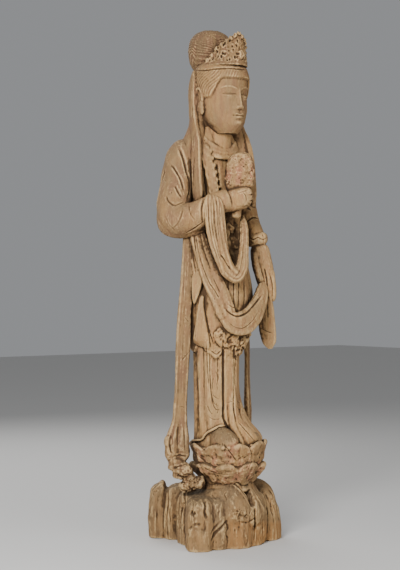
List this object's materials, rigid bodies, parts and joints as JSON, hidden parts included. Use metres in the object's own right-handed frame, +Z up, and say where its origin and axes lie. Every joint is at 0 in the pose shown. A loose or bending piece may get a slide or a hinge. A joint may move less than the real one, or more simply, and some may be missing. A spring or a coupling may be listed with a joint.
{
  "type": "guanyin figure",
  "caption": "Tall standing robed figure with looped scarves, a high hair knot and a crown, on a lotus over rockwork, carved from one trunk of wood.",
  "frame": {"origin": "centre of the standing face, on the floor under the middle of the lotus's top", "axes": "+Z up, the figure faces -Y and its right hand is on the -X side"},
  "size_m": [0.2957, 0.2613, 1.08],
  "materials": {
    "weathered_wood": "dry, worm-eaten old wood with worn traces of ground and pigment"
  },
  "bodies": {
    "root": {"guanyin_figure": "weathered_wood"}
  },
  "joints": []
}
